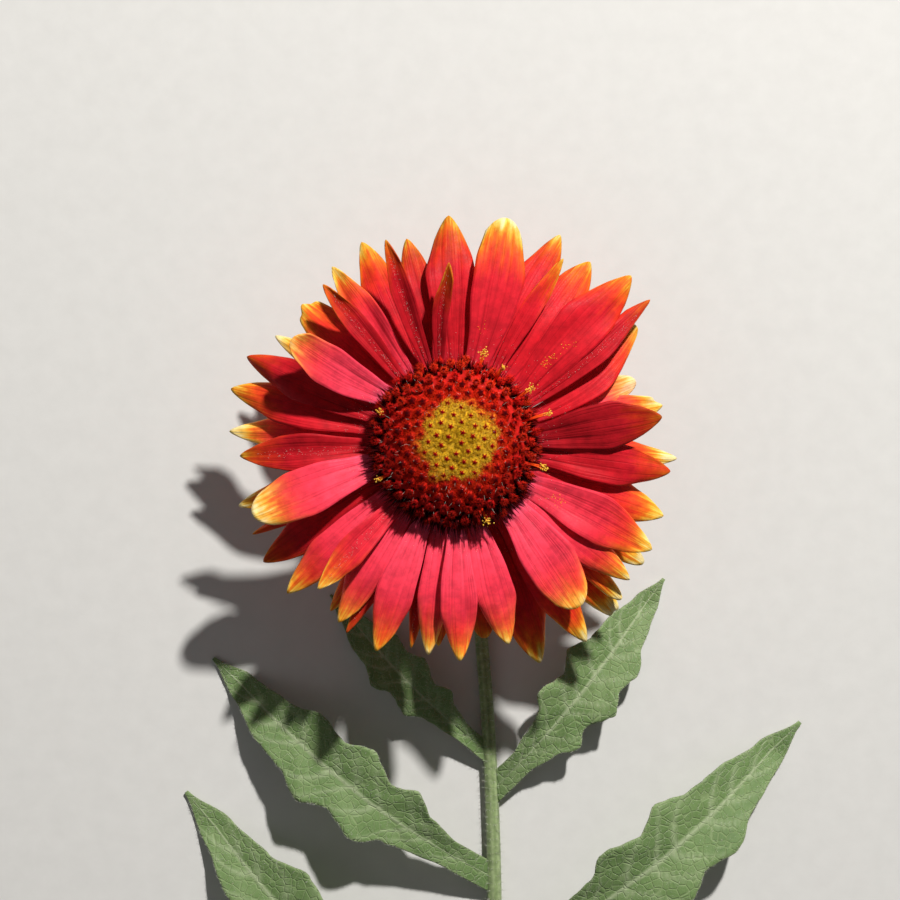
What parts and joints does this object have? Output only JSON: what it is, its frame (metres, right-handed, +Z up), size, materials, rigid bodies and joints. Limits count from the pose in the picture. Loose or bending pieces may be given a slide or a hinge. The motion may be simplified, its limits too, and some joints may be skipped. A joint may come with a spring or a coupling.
{
  "type": "blanket flower stem",
  "caption": "Cut blanket flower stem with one open red and yellow daisy head, a domed disc and lobed hairy leaves, lying on a surface with its head facing up.",
  "frame": {"origin": "middle of the part's footprint, on the surface it lies on", "axes": "+Y along the stem towards the head, +Z up through the head, +X to the right of the picture"},
  "size_m": [0.1241, 0.2245, 0.0364],
  "materials": {
    "ray_florets": "satin",
    "disc_florets": "matte",
    "disc_centre": "matte",
    "bracts": "matte",
    "stem": "matte",
    "leaf": "matte"
  },
  "bodies": {
    "root": {"ray_florets": "ray_florets", "disc_florets": "disc_florets", "disc_centre": "disc_centre", "involucre": "bracts", "stem": "stem", "leaf_1": "leaf", "leaf_2": "leaf", "leaf_3": "leaf", "leaf_4": "leaf", "leaf_5": "leaf", "leaf_6": "leaf", "leaf_7": "leaf"}
  },
  "joints": []
}
